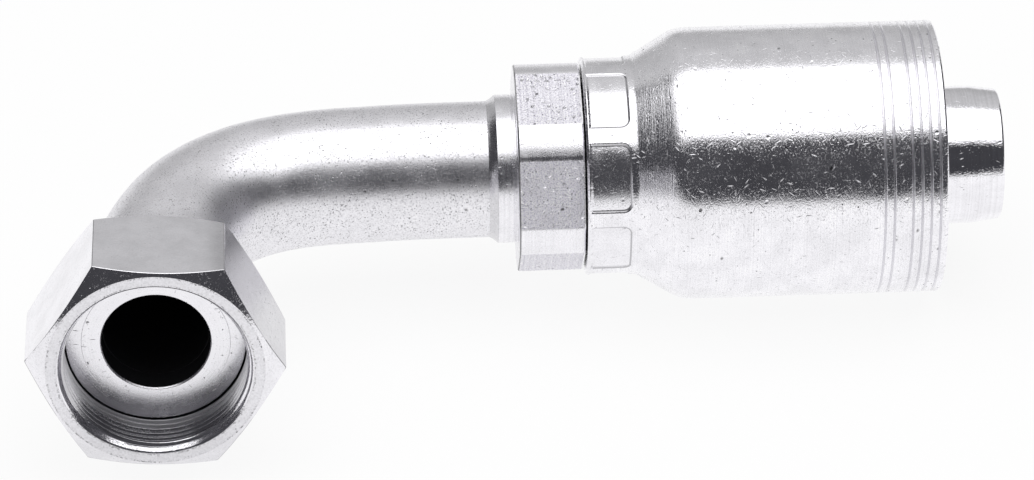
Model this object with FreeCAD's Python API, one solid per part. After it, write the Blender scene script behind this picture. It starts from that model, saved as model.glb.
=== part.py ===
import FreeCAD, Part
import math
import os

# Ninety degree hose coupling: a swivel nut and flat seal nose on one end of a bent tube,
# and on the other a stem whose nipple takes the hose inside a crimp ferrule.
# Millimetres. The seal face is in the plane y = 0 with its centre at the origin, the nut
# opens towards -Y, the hose end points along +X, and both axes lie in the plane z = 0.

V = FreeCAD.Vector

# Elbow tube
tube_diameter = 38.1
tube_wall = 4.75
bend_radius = 52.0
nose_run = 15.5              # straight tube between the nose and the bend
hose_run = 42.3              # straight tube between the bend and the stem

# Face seal nose
nose_length = 17.6
nose_bore = 29.0
nose_wall = 2.8              # of the neck, round the tube's socket
flange_thickness = 9.5
flange_step = 2.3            # how far the flange stands out past the neck
nose_socket_depth = 10.5
nose_edge_chamfer = 0.4
nose_neck_chamfer = 0.8
bore_chamfer = 0.4

# Swivel nut, with the crests of its thread close outside the nose's flange
nut_across_flats = 60.0
nut_height = 30.1
nut_shoulder_thickness = 6.4
nut_chamfer_inset = 0.87     # from the flats in to the rim of each end face
nut_chamfer_angle = 30.0
thread_depth = 1.05          # crest to root, which makes a 50.8 mm major diameter
thread_lead_in = 0.8         # how far the countersink opens past the thread's major radius
relief_depth = 0.6           # how far the thread relief lies outside the major radius
nut_turn = -3.74             # the nut's stored turn about its axis

# Stem: socket collar, wrench collar, lock groove, lock collar and nipple
collar_wall = 1.65           # round the tube's socket
collar_width = 4.4
collar_groove_width = 0.35
collar_groove_depth = 0.4
collar_land = 0.7
wrench_bar_diameter = 58.4
wrench_across_flats = 54.5
wrench_width = 18.3
wrench_edge = 0.4
wrench_turn = 46.7
stem_socket_depth = 12.0
stem_bore = 30.0
lock_groove_diameter = 47.2
lock_groove_width = 12.95
lock_step = 1.8              # how far the lock collar stands out past the groove
lock_collar_width = 5.0
nipple_diameter = 38.6
nipple_length = 99.5
tip_taper_length = 7.7
tip_taper_drop = 1.1
tip_chamfer = 0.6
barb_count = 7
barb_pitch = 8.0
barb_length = 3.0
barb_depth = 0.9
barb_start = 15.0            # from the lock collar to the first barb

# Crimp ferrule
ferrule_diameter = 76.2
ferrule_length = 98.95
ferrule_neck_wall = 7.0      # round the stem's lock groove
ferrule_neck_length = 13.93  # from the lip to where the flare's slope begins
lip_chamfer = 0.8
flare_angle = 30.7
flare_foot_radius = 3.0
flare_crown_radius = 12.0
rim_chamfer = 0.7
shell_wall = 4.5
grip_height = 2.1
grip_count = 7
grip_pitch = 7.5
grip_crest = 1.6
grip_base = 3.4
grip_start = 9.0             # from the open rim to the first tooth
mouth_chamfer = 1.2
hose_depth = 67.5            # from the open rim to where the hose stops

# Eight pockets that the crimping dies leave in the ferrule's neck
pocket_count = 8
pocket_angle = 37.3
pocket_depth = 0.48
pocket_margin = 1.05         # from the lip to the pockets
pocket_length = 11.5
pocket_corner = 1.3
pocket_turn = 21.6

# Ring grooves beside the open rim; one place in the row is left plain
groove_first = 2.2
groove_pitch = 2.54
groove_places = (0, 1, 2, 3, 5, 6)
groove_width = 0.8
groove_depth = 0.4

# Braze fillets, seen outside each socket
fillet_length = 2.4
fillet_hollow = 0.12
nose_fillet_height = 1.7

# Clearances
braze_gap = 0.05             # radial, tube in socket
neck_clearance = 0.1         # radial, nut on the nose's neck
flange_clearance = 0.15      # radial, nose flange inside the thread's crests
shoulder_gap = 0.1           # axial, nut shoulder behind the flange
thread_end_gap = 0.2         # axial, thread's end in front of the seal face
wrench_gap = 0.5             # axial, wrench collar to ferrule lip
lock_clearance = 0.05        # radial, ferrule on the lock groove
lock_end_gap = 0.1           # axial, ferrule's inner land to the lock collar
collar_clearance = 0.2       # radial, ferrule round the lock collar

# Limits of the drawing itself
round_limit = 0.49           # the most of a side that one rounded corner takes up
same_place = 1e-6            # two places closer than this are one

# Places along the nut axis, measured as y from the seal face
bend_start = nose_length + nose_run
leg_drop = bend_start + bend_radius
nose_socket_floor = nose_length - nose_socket_depth
nut_shoulder = flange_thickness + shoulder_gap
nut_rear = nut_shoulder + nut_shoulder_thickness
nut_front = nut_rear - nut_height

# Places along the hose axis, measured as x from the nut axis
stem_face = bend_radius + hose_run
groove_left = stem_face + collar_width
groove_right = groove_left + collar_groove_width
wrench_left = groove_right + collar_land
wrench_right = wrench_left + wrench_width
lock_left = wrench_right + lock_groove_width
lock_right = lock_left + lock_collar_width
nipple_tip = lock_right + nipple_length
stem_socket_floor = stem_face + stem_socket_depth
lip = wrench_right + wrench_gap
rim = lip + ferrule_length
hose_stop = rim - hose_depth

# Radii about the nut axis
tube_radius = tube_diameter / 2
tube_bore_radius = tube_radius - tube_wall
socket_radius = tube_radius + braze_gap
neck_radius = socket_radius + nose_wall
flange_radius = neck_radius + flange_step
thread_minor_radius = flange_radius + flange_clearance
thread_major_radius = thread_minor_radius + thread_depth
relief_radius = thread_major_radius + relief_depth
countersink_radius = thread_major_radius + thread_lead_in

# Radii about the hose axis
collar_radius = socket_radius + collar_wall
lock_groove_radius = lock_groove_diameter / 2
lock_collar_radius = lock_groove_radius + lock_step
nipple_radius = nipple_diameter / 2
ferrule_radius = ferrule_diameter / 2
ferrule_land_radius = lock_groove_radius + lock_clearance
ferrule_neck_radius = ferrule_land_radius + ferrule_neck_wall
collar_room_radius = lock_collar_radius + collar_clearance
shell_radius = ferrule_radius - shell_wall
grip_radius = shell_radius - grip_height


def rounded_outline(corners):
    """Closed wire through (x, y) corners; a third number in a corner is its radius."""
    points = [V(corner[0], corner[1], 0) for corner in corners]
    stretches = []
    for index, corner in enumerate(corners):
        here = points[index]
        to_last = points[index - 1] - here
        to_next = points[(index + 1) % len(points)] - here
        radius = corner[2] if len(corner) > 2 else 0
        if not radius:
            stretches.append((here, None, here))
            continue
        half_angle = to_last.getAngle(to_next) / 2
        shorter_side = min(to_last.Length, to_next.Length)
        reach = min(radius / math.tan(half_angle), shorter_side * round_limit)
        radius = reach * math.tan(half_angle)
        to_last.normalize()
        to_next.normalize()
        inward = (to_last + to_next).normalize()
        middle = here + inward * (radius / math.sin(half_angle) - radius)
        stretches.append((here + to_last * reach, middle, here + to_next * reach))
    edges = []
    for index, (start, middle, end) in enumerate(stretches):
        if middle is not None:
            edges.append(Part.Arc(start, middle, end).toShape())
        following = stretches[(index + 1) % len(stretches)][0]
        edges.append(Part.makeLine(end, following))
    return Part.Wire(edges)


def turned(corners):
    """Solid of revolution about the X axis from (x, radius) corners."""
    face = Part.Face(rounded_outline(corners))
    return face.revolve(V(0, 0, 0), V(1, 0, 0), 360)


def on_nut_axis(solid):
    """Lay a turned solid on the nut axis, so that its x runs along +Y."""
    placed = solid.copy()
    placed.rotate(V(0, 0, 0), V(0, 0, 1), 90)
    return placed


def on_hose_axis(solid):
    """Lay a turned solid on the hose axis."""
    placed = solid.copy()
    placed.translate(V(0, leg_drop, 0))
    return placed


def hexagon_prism(across_flats, start, length, turn):
    """Hexagonal bar along +Y, its first corner at the angle turn from +X towards +Z."""
    corner_radius = across_flats / math.sqrt(3)
    corners = []
    for index in range(7):
        angle = math.radians(60 * index + turn)
        corners.append(V(corner_radius * math.cos(angle), start, corner_radius * math.sin(angle)))
    return Part.Face(Part.makePolygon(corners)).extrude(V(0, length, 0))


def make_swivel_nut():
    """Hexagon nut with chamfered ends, a thread bore, a relief and an inner shoulder."""
    bar = hexagon_prism(nut_across_flats, nut_front, nut_height, nut_turn)
    corner_radius = nut_across_flats / math.sqrt(3)
    chamfer_radius = nut_across_flats / 2 - nut_chamfer_inset
    chamfer_rise = (corner_radius - chamfer_radius) * math.tan(math.radians(nut_chamfer_angle))
    relief_start = -thread_end_gap
    rear_bore_radius = neck_radius + neck_clearance
    body = turned([
        (nut_front, countersink_radius),
        (nut_front, chamfer_radius),
        (nut_front + chamfer_rise, corner_radius),
        (nut_rear - chamfer_rise, corner_radius),
        (nut_rear, chamfer_radius),
        (nut_rear, rear_bore_radius + bore_chamfer),
        (nut_rear - bore_chamfer, rear_bore_radius),
        (nut_shoulder, rear_bore_radius),
        (nut_shoulder, relief_radius),
        (relief_start + relief_radius - thread_minor_radius, relief_radius),
        (relief_start, thread_minor_radius),
        (nut_front + countersink_radius - thread_minor_radius, thread_minor_radius),
    ])
    return bar.common(on_nut_axis(body))


def make_face_seal_nose():
    """Flanged sleeve with the flat seal face in front and the tube's socket behind."""
    bore_radius = nose_bore / 2
    return on_nut_axis(turned([
        (0, bore_radius + bore_chamfer),
        (0, flange_radius - nose_edge_chamfer),
        (nose_edge_chamfer, flange_radius),
        (flange_thickness - nose_edge_chamfer, flange_radius),
        (flange_thickness, flange_radius - nose_edge_chamfer),
        (flange_thickness, neck_radius),
        (nose_length - nose_neck_chamfer, neck_radius),
        (nose_length, neck_radius - nose_neck_chamfer),
        (nose_length, socket_radius),
        (nose_socket_floor, socket_radius),
        (nose_socket_floor, bore_radius),
        (bore_chamfer, bore_radius),
    ]))


def ring_face(centre, normal):
    """Cross section of the tube."""
    circles = [Part.makeCircle(radius, centre, normal) for radius in (tube_radius, tube_bore_radius)]
    return Part.makeFace([Part.Wire(circle) for circle in circles], "Part::FaceMakerBullseye")


def make_elbow_tube():
    """Tube from the nose's socket, round the quarter bend and into the stem's socket."""
    nose_leg = ring_face(V(0, nose_socket_floor, 0), V(0, 1, 0))
    nose_leg = nose_leg.extrude(V(0, bend_start - nose_socket_floor, 0))
    bend_centre = V(bend_radius, bend_start, 0)
    bend = ring_face(V(0, bend_start, 0), V(0, 1, 0)).revolve(bend_centre, V(0, 0, -1), 90)
    hose_leg = ring_face(V(bend_radius, leg_drop, 0), V(1, 0, 0))
    hose_leg = hose_leg.extrude(V(stem_socket_floor - bend_radius, 0, 0))
    return nose_leg.fuse([bend, hose_leg]).removeSplitter()


def fillet_ring(foot, height):
    """Braze fillet lying on the tube, from x = 0 back to its thin edge at negative x."""
    middle = V(-fillet_length / 2, foot + height / 2, 0)
    inward = V(height, -fillet_length, 0).normalize()
    edges = [
        Part.makeLine(V(-fillet_length, foot, 0), V(0, foot, 0)),
        Part.makeLine(V(0, foot, 0), V(0, foot + height, 0)),
        Part.Arc(V(0, foot + height, 0), middle + inward * fillet_hollow, V(-fillet_length, foot, 0)).toShape(),
    ]
    return Part.Face(Part.Wire(edges)).revolve(V(0, 0, 0), V(1, 0, 0), 360)


def make_nose_braze():
    """Braze fillet behind the nose."""
    ring = fillet_ring(tube_radius, nose_fillet_height)
    ring = ring.mirror(V(0, 0, 0), V(1, 0, 0))
    ring.translate(V(nose_length, 0, 0))
    return on_nut_axis(ring)


def make_stem_braze():
    """Braze fillet in front of the stem's collar, as high as the collar."""
    ring = fillet_ring(tube_radius, collar_radius - tube_radius)
    ring.translate(V(stem_face, 0, 0))
    return on_hose_axis(ring)


def barb_corners():
    """Outline of the nipple's barbs: each rises gently and drops square towards the stem."""
    corners = []
    for index in range(barb_count):
        left = lock_right + barb_start + index * barb_pitch
        corners.append((left, nipple_radius))
        corners.append((left, nipple_radius - barb_depth))
        corners.append((left + barb_length, nipple_radius))
    return corners


def wrench_flat(index):
    """Block that cuts one flat on the wrench collar."""
    reach = wrench_bar_diameter
    block = Part.makeBox(wrench_width, reach, reach, V(wrench_left, wrench_across_flats / 2, -reach / 2))
    block.rotate(V(0, 0, 0), V(1, 0, 0), wrench_turn + 60 * index)
    return block


def make_hose_stem():
    """One turned bar: socket collar, wrench collar with six flats, lock groove and nipple."""
    bar_radius = wrench_bar_diameter / 2
    bore_radius = stem_bore / 2
    tip_radius = nipple_radius - tip_taper_drop
    step_down = lock_collar_radius - nipple_radius
    outline = [
        (stem_face, socket_radius),
        (stem_face, collar_radius),
        (groove_left, collar_radius),
        (groove_left, collar_radius - collar_groove_depth),
        (groove_right, collar_radius - collar_groove_depth),
        (groove_right, collar_radius),
        (wrench_left, collar_radius),
        (wrench_left, bar_radius - wrench_edge),
        (wrench_left + wrench_edge, bar_radius),
        (wrench_right - wrench_edge, bar_radius),
        (wrench_right, bar_radius - wrench_edge),
        (wrench_right, lock_groove_radius),
        (lock_left, lock_groove_radius),
        (lock_left, lock_collar_radius),
        (lock_right, lock_collar_radius),
        (lock_right + step_down, nipple_radius),
    ]
    outline += barb_corners()
    outline += [
        (nipple_tip - tip_taper_length, nipple_radius),
        (nipple_tip - tip_chamfer, tip_radius),
        (nipple_tip, tip_radius - tip_chamfer),
        (nipple_tip, bore_radius + bore_chamfer),
        (nipple_tip - bore_chamfer, bore_radius),
        (stem_socket_floor, bore_radius),
        (stem_socket_floor, socket_radius),
    ]
    flats = [wrench_flat(index) for index in range(6)]
    return on_hose_axis(turned(outline).cut(flats))


def rim_groove_corners():
    """Outline of the small ring grooves, from the flare towards the open rim."""
    corners = []
    for place in reversed(groove_places):
        middle = rim - groove_first - place * groove_pitch
        corners.append((middle - groove_width / 2, ferrule_radius))
        corners.append((middle, ferrule_radius - groove_depth))
        corners.append((middle + groove_width / 2, ferrule_radius))
    return corners


def grip_corners():
    """Outline of the inner grip teeth, from the open rim towards the neck."""
    corners = []
    for index in range(grip_count):
        middle = rim - grip_start - grip_base / 2 - index * grip_pitch
        corners.append((middle + grip_base / 2, shell_radius))
        corners.append((middle + grip_crest / 2, grip_radius))
        corners.append((middle - grip_crest / 2, grip_radius))
        corners.append((middle - grip_base / 2, shell_radius))
    return corners


def die_pocket(index):
    """Block that presses one die pocket into the neck, rounded at its far corners."""
    left = lip + pocket_margin
    right = left + pocket_length
    floor = ferrule_neck_radius - pocket_depth
    top = ferrule_neck_radius + pocket_depth
    section = Part.makePolygon([
        V(left, floor, 0), V(right, floor, 0), V(right, top, 0), V(left, top, 0), V(left, floor, 0),
    ])
    block = Part.Face(section).revolve(V(0, 0, 0), V(1, 0, 0), pocket_angle)
    radial_height = top - floor
    corners = [
        edge for edge in block.Edges
        if abs(edge.Length - radial_height) < same_place
        and all(abs(vertex.X - right) < same_place for vertex in edge.Vertexes)
    ]
    block = block.makeFillet(pocket_corner, corners)
    pitch = 360 / pocket_count
    block.rotate(V(0, 0, 0), V(1, 0, 0), pocket_turn - pocket_angle / 2 + index * pitch)
    return block


def make_crimp_ferrule():
    """Shell that is pressed on the stem's lock groove and open for the hose at its rim."""
    flare_start = lip + ferrule_neck_length
    flare_rise = ferrule_radius - ferrule_neck_radius
    flare_end = flare_start + flare_rise / math.tan(math.radians(flare_angle))
    land_end = lock_left - lock_end_gap
    outline = [
        (lip, ferrule_land_radius),
        (lip, ferrule_neck_radius - lip_chamfer),
        (lip + lip_chamfer, ferrule_neck_radius),
        (flare_start, ferrule_neck_radius, flare_foot_radius),
        (flare_end, ferrule_radius, flare_crown_radius),
    ]
    outline += rim_groove_corners()
    outline += [
        (rim - rim_chamfer, ferrule_radius),
        (rim, ferrule_radius - rim_chamfer),
        (rim, shell_radius + mouth_chamfer),
        (rim - mouth_chamfer, shell_radius),
    ]
    outline += grip_corners()
    outline += [
        (hose_stop, shell_radius),
        (hose_stop - (shell_radius - collar_room_radius), collar_room_radius),
        (land_end, collar_room_radius),
        (land_end, ferrule_land_radius),
    ]
    pockets = [die_pocket(index) for index in range(pocket_count)]
    return on_hose_axis(turned(outline).cut(pockets))


subparts = {
    "swivel_nut": make_swivel_nut,
    "face_seal_nose": make_face_seal_nose,
    "nose_braze": make_nose_braze,
    "elbow_tube": make_elbow_tube,
    "stem_braze": make_stem_braze,
    "hose_stem": make_hose_stem,
    "crimp_ferrule": make_crimp_ferrule,
}

os.makedirs("parts", exist_ok=True)
for node, make in subparts.items():
    shape = make()
    shape.exportStep("parts/" + node + ".step")
    print(node, "solids", len(shape.Solids), "valid", shape.isValid(), "volume", round(shape.Volume, 1))
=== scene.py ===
import math
import bmesh
import bpy
import numpy as np
from mathutils import Matrix, Vector


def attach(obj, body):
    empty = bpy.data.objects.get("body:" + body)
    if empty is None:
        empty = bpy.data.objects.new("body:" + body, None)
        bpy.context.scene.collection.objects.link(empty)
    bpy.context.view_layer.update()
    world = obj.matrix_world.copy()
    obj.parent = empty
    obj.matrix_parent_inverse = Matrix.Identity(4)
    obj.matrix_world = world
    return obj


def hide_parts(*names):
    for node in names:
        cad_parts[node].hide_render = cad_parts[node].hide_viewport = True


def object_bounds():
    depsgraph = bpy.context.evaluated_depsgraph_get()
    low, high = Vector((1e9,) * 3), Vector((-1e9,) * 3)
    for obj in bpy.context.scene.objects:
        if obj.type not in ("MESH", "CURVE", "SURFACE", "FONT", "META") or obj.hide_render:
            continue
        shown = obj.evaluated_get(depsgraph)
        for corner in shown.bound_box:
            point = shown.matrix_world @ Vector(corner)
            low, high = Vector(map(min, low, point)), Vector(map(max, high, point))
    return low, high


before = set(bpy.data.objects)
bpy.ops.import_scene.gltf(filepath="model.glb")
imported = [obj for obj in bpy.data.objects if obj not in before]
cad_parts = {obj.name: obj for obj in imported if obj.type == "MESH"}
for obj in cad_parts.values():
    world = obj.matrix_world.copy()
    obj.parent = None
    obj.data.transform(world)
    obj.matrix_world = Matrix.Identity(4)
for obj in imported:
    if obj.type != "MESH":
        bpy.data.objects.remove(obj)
cad_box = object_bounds()

# A bent tube coupling for a hydraulic hose: swivel nut and seal nose on the tube's near end,
# hose stem and crimp ferrule on its far end. Blender's frame is in metres. Sizes below are in
# millimetres, apart from the camera's and the stage's, and roundings are radii of edges.
mm = 0.001

# The photograph's camera: its frame, lens and angles, and its place from the tube's bend corner
photo_width_px = 1034
focal_length_px = 5361.76
sensor_width_mm = 36.0
camera_azimuth = -0.0429778
camera_elevation = 0.5476002
camera_roll = -0.00912
camera_distance = 1500.04 * mm
camera_shift_right = 100.207 * mm
camera_shift_up = -16.998 * mm
camera_clip_start = 0.05
camera_clip_end = 60.0

# Tube
tube_radius = 19.05
tube_bore_radius = 14.3
tube_dark_radius = 14.6  # as far out as its end faces get the bore's painted shade
bend_radius = 52.0
bend_start = 33.1
bend_length = bend_radius * math.pi / 2
bend_sags = ((15.7, 12.6, 0.69), (74.9, 18.8, 1.46))  # place, spread and depth of each
bend_flattening = 0.56
flattened_reach = 0.45  # either way from the bend's middle, as a share of its length
tube_rows = 120
tube_bore_rows = 40
leg_drop = bend_start + bend_radius
nose_socket_floor = 7.1
stem_socket_floor = 106.3

# Seal nose
flange_radius = 24.2
flange_thickness = 9.5
flange_round = 0.4
nose_neck_radius = 21.9
neck_root_round = 0.2
nose_length = 17.6
nose_end_chamfer = 0.8
nose_end_round = 0.3
socket_radius = 19.1
nose_bore_radius = 14.5
nose_bore_chamfer = 0.4
nose_bore_round = 0.25
nose_lit_depth = 0.3  # from the seal face back to what the nut shades
tool_line_radius = 19.9
tool_line_depth = 0.05
tool_line_half_width = 0.1
tool_line_round = 0.03

# Swivel nut
nut_front = -14.1
nut_rear = 16.0
nut_half_flats = 30.0
nut_chamfer_radius = 29.13
nut_chamfer_slope = math.tan(math.radians(30.0))
nut_corner_round = 0.45
nut_edge_round = 0.3
nut_face_round = 0.25
nut_turn = math.radians(-3.74)
nut_shoulder = 9.6
nut_rear_bore_radius = 22.0
nut_bore_chamfer = 0.4
nut_bore_round = 0.15
corner_steps = (0.2, 0.5, 0.9, 1.4)  # degrees from a corner to the mesh's lines beside it
corner_gap = 1.7  # degrees from a corner to the first even line

# Darker lines of the nut: a line along each corner, and painted shade round its lower edges; the
# higher edges stay bright where they catch the light
corner_line_depth = 0.08  # how far below a corner's tip its darker line begins
edge_shade_width = 0.15
edge_shade_inner = 0.3  # from the chamfer's foot out to where an edge can be
edge_shade_top = 0.25  # sine of the angle above which the edges get no painted shade and stay bright
chamfer_share = 0.97  # of the chamfer's rise, the most that counts as its face

# Thread of the nut
thread_minor_radius = 24.35
thread_depth = 1.05
thread_pitch = 25.4 / 12
thread_crest = 0.125  # half its width, in pitches
thread_flank = 0.286
thread_round = 0.016
thread_phase = 0.35
thread_shade_start = 2.6  # from the nut's front to where its thread gets a darker painted shade
flank_rows = 5
spare_turns = 2  # wound past the ends of the wall, and cut off there
mouth_round = 0.12
countersink_radius = 26.2
countersink_break = 0.45
countersink_slope = math.tan(math.radians(30.0))
relief_radius = 26.0
relief_start = -0.35
relief_run = 2.0  # length of the relief's slope for each mm of its depth

# Hose stem
stem_face = 94.3
collar_radius = 20.75
collar_round = 0.1
collar_groove_depth = 0.4
collar_groove_round = 0.08
groove_left = 98.7
groove_right = 99.05
wrench_left = 99.75
wrench_right = 118.05
wrench_bar_radius = 29.2
wrench_half_flats = 27.25
wrench_edge = 0.4
wrench_bar_round = 0.2
wrench_side_round = 0.15
wrench_turn = math.radians(45.8)
wrench_gap = 0.5  # degrees from a flat's edge to the first even line
wrench_face_height = 1.0  # from the socket collar out to where the bevel can be
lock_groove_radius = 23.6
lock_left = 131.0
lock_right = 136.0
lock_collar_radius = 25.4
lock_collar_round = 0.2
nipple_radius = 19.3
nipple_round = 0.3
nipple_tip = 235.5
tip_taper_length = 7.7
tip_radius = 18.2
tip_round = 0.8
stem_bore_radius = 15.0
stem_bore_chamfer = 0.4
stem_bore_round = 0.2
barb_count = 7
barb_pitch = 8.0
barb_length = 3.0
barb_depth = 0.9
barb_start = 151.0
barb_rounds = (0.15, 0.1, 0.3)  # at its crest, at its foot and where it meets the nipple

# Crimp ferrule
lip = 118.55
rim = 217.5
ferrule_neck_radius = 30.65
ferrule_radius = 38.1
ferrule_land_radius = 23.65
lip_chamfer = 0.6
lip_face_round = 0.25
lip_round = 0.3
flare_start = 132.48
flare_end = 145.03
flare_foot_round = 3.0
flare_crown_round = 12.0
rim_chamfer = 0.5
rim_round = 0.4
mouth_chamfer = 1.2
shell_radius = 33.6
shell_round = 0.25
grip_radius = 31.5
hose_stop = 150.0
hose_stop_round = 0.5
collar_room_radius = 25.6
land_end = 130.9
grip_count = 7
grip_pitch = 7.5
grip_start = 9.0
grip_base = 3.4
grip_crest = 1.6

# Ring grooves beside the ferrule's rim; one place in the row is left plain
groove_first = 2.2
groove_pitch = 2.54
groove_places = (0, 1, 2, 3, 5, 6)
groove_middles = [rim - groove_first - place * groove_pitch for place in groove_places]
groove_width = 0.8
groove_depth = 0.4
groove_edge_round = 0.12
groove_floor_round = 0.1
# width round each groove's middle that gets the darker painted shade
groove_shade = 0.6

# Pockets pressed into the ferrule's neck
pocket_count = 8
pocket_half_angle = math.radians(37.3 / 2)
pocket_turn = math.radians(21.6)
pocket_left = 119.3
pocket_right = 131.1
pocket_depth = 0.48
pocket_corner = 2.8
pocket_lip_corner = 0.3
pocket_wall = 0.9
pocket_wall_shares = (0.15, 0.9)  # of the depth, between which a face is wall

# Lines of the mesh round the pockets
neck_row_fine = 0.12
neck_row_coarse = 0.5
neck_row_from_lip = 0.15
neck_row_margin = 0.1
neck_row_past_corner = 0.4
pocket_side_step = 0.2  # degrees
pocket_side_margin = 0.3
plain_margin = 0.2  # beyond the pockets, to where the lines are even again

# Braze fillets
fillet_length = 2.4
fillet_hollow = 0.12
fillet_lean = 0.5  # of the hollow, how much of it goes along the tube
fillet_toe = 0.01
fillet_steps = 6
nose_fillet_radius = 20.75

# Fineness of the meshes
around = 256
even_angles = np.arange(around) * 2 * math.pi / around
sixth_turn = math.pi / 3
arc_steps = 4
support = 0.05  # from a rounded corner to the point that holds its shading
support_share = 0.04  # of a side, the most that goes to such a point
round_share = 0.42  # of a side, the most that one rounded corner takes
same_place = 0.0001
slack = 0.01  # for a face compared with a size
smooth_below = math.radians(33)


# Outlines

def unit(vector):
    return vector / np.linalg.norm(vector)


def rounded_corner(before, here, after, radius):
    """Arc that rounds a corner, with a support point on each side of it."""
    to_last, to_next = unit(before - here), unit(after - here)
    half_angle = math.acos(np.clip(to_last @ to_next, -1, 1)) / 2
    shorter_side = min(np.linalg.norm(before - here), np.linalg.norm(after - here))
    reach = min(radius / math.tan(half_angle), shorter_side * round_share)
    radius = reach * math.tan(half_angle)
    centre = here + unit(to_last + to_next) * radius / math.sin(half_angle)
    start, end = here + to_last * reach, here + to_next * reach
    first = math.atan2(start[1] - centre[1], start[0] - centre[0])
    last = math.atan2(end[1] - centre[1], end[0] - centre[0])
    sweep = (last - first + math.pi) % (2 * math.pi) - math.pi
    beside = min(support, shorter_side * support_share)
    points = [start + to_last * beside]
    for step in range(arc_steps + 1):
        angle = first + sweep * step / arc_steps
        points.append(centre + radius * np.array([math.cos(angle), math.sin(angle)]))
    points.append(end + to_next * beside)
    return points


def outline(corners):
    """Closed outline through (along, radius) corners; a third number in a corner rounds it."""
    points = []
    for index, corner in enumerate(corners):
        here = np.array(corner[:2], float)
        if len(corner) < 3:
            points.append(here)
            continue
        before = np.array(corners[index - 1][:2], float)
        after = np.array(corners[(index + 1) % len(corners)][:2], float)
        points += rounded_corner(before, here, after, corner[2])
    return np.array(points)


def repeated(shape, places):
    """The corners of one shape, moved to each place along the axis."""
    return [(place + along, *rest) for place in places for along, *rest in shape]


# Places of a point that lies along an axis, at a radius and an angle

def on_nut_axis(along, radius, angle):
    return np.stack([radius * np.cos(angle), along, radius * np.sin(angle)], -1)


def on_hose_axis(along, radius, angle):
    return np.stack([along, leg_drop + radius * np.cos(angle), radius * np.sin(angle)], -1)


def on_tube_axis(along, radius, angle):
    """
    Along the tube's bent centre line, from the seal face's plane. The bending machine has
    flattened the bend a little and left a shallow sag towards the inside at each of its ends.
    """
    into_bend = along - bend_start
    turn = np.clip(into_bend / bend_radius, 0, math.pi / 2)
    straight = into_bend - bend_radius * turn
    before_bend = np.minimum(straight, 0)
    after_bend = np.maximum(straight, 0)
    sag = sum(
        depth * np.exp(-((into_bend - place) / spread) ** 2)
        for place, spread, depth in bend_sags
    )
    from_middle = (into_bend - bend_length / 2) / (flattened_reach * bend_length)
    flattened = 1 - bend_flattening / tube_radius * np.exp(-from_middle ** 4)
    side = radius * np.cos(angle) * flattened - sag
    x = bend_radius * (1 - np.cos(turn)) + after_bend - side * np.cos(turn)
    y = bend_start + bend_radius * np.sin(turn) + before_bend + side * np.sin(turn)
    return np.stack([x, y, radius * np.sin(angle)], -1)


# Angles of a mesh's lines

def from_nearest(angle, first, pitch):
    """Angle from the nearest of evenly spaced directions, of which first is one."""
    return (angle - first + pitch / 2) % pitch - pitch / 2


def with_even_angles(exact, crowded, gap):
    """The exact angles and the even ones that keep a gap from the crowded ones, in order."""
    away = np.abs(from_nearest(even_angles[:, None], np.asarray(crowded), 2 * math.pi))
    clear = even_angles[away.min(axis=1) > gap]
    return np.sort(np.concatenate([exact, clear]) % (2 * math.pi))


# Meshes

def add_object(name, data):
    thing = bpy.data.objects.new(name, data)
    bpy.context.scene.collection.objects.link(thing)
    return thing


def merge_points(mesh):
    """Joins the points that lie in the same place."""
    work = bmesh.new()
    work.from_mesh(mesh)
    bmesh.ops.remove_doubles(work, verts=work.verts, dist=same_place * mm)
    work.to_mesh(mesh)
    work.free()


def skin(name, columns, angles, place, paint=None, helix=None):
    """
    Closed mesh through one outline per angle. The angles are one per outline, or one per point
    of it. paint picks each face's material. helix is (first row, rows per turn) where the last
    rows follow a thread's turns.
    """
    columns = np.asarray(columns)
    count, rows = columns.shape[:2]
    angles = np.broadcast_to(angles if np.ndim(angles) == 2 else angles[:, None], (count, rows))
    points = place(columns[..., 0], columns[..., 1], angles).reshape(-1, 3) * mm
    column, row = np.meshgrid(np.arange(count), np.arange(rows), indexing="ij")
    next_column, next_row = (column + 1) % count, (row + 1) % rows
    across, next_across = row, next_row
    if helix:
        first, turn = helix
        one_turn_on = np.minimum(np.arange(rows) + turn, rows - 1)
        landing = np.where(np.arange(rows) < first, np.arange(rows), one_turn_on)
        across = np.where(next_column == 0, landing[row], row)
        next_across = np.where(next_column == 0, landing[next_row], next_row)
    faces = np.stack([
        column * rows + row, next_column * rows + across,
        next_column * rows + next_across, column * rows + next_row,
    ], -1).reshape(-1, 4)
    a, b, c = points[faces[:, 0]], points[faces[:, 1]], points[faces[:, 2]]
    if np.einsum("ij,ij->i", a, np.cross(b, c)).sum() < 0:
        faces = faces[:, ::-1]
    whole = (across != next_across).reshape(-1)
    faces = faces[whole]
    mesh = bpy.data.meshes.new(name)
    mesh.from_pydata(points.tolist(), [], faces.tolist())
    if paint:
        along = (columns[column, row, 0] + columns[column, next_row, 0]) / 2
        radius = np.maximum(columns[column, row, 1], columns[column, next_row, 1])
        radius = np.maximum(radius[column, row], radius[next_column, row])
        chosen = paint(along, radius).reshape(-1)[whole]
        mesh.polygons.foreach_set("material_index", chosen.astype(np.int32))
    mesh.polygons.foreach_set("use_smooth", np.ones(len(faces), bool))
    merge_points(mesh)
    mesh.set_sharp_from_angle(angle=smooth_below)
    return add_object(name, mesh)


def turned(name, profile, place, paint=None):
    """Mesh turned from one outline."""
    columns = np.repeat(np.asarray(profile)[None], around, 0)
    return skin(name, columns, even_angles, place, paint)


def dressed(piece, node, body, slot, *materials):
    """Puts a piece in its CAD node's place, on its body, with its finish."""
    for material in materials:
        piece.data.materials.append(material)
    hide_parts(node)
    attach(piece, body)


# Tube

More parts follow.
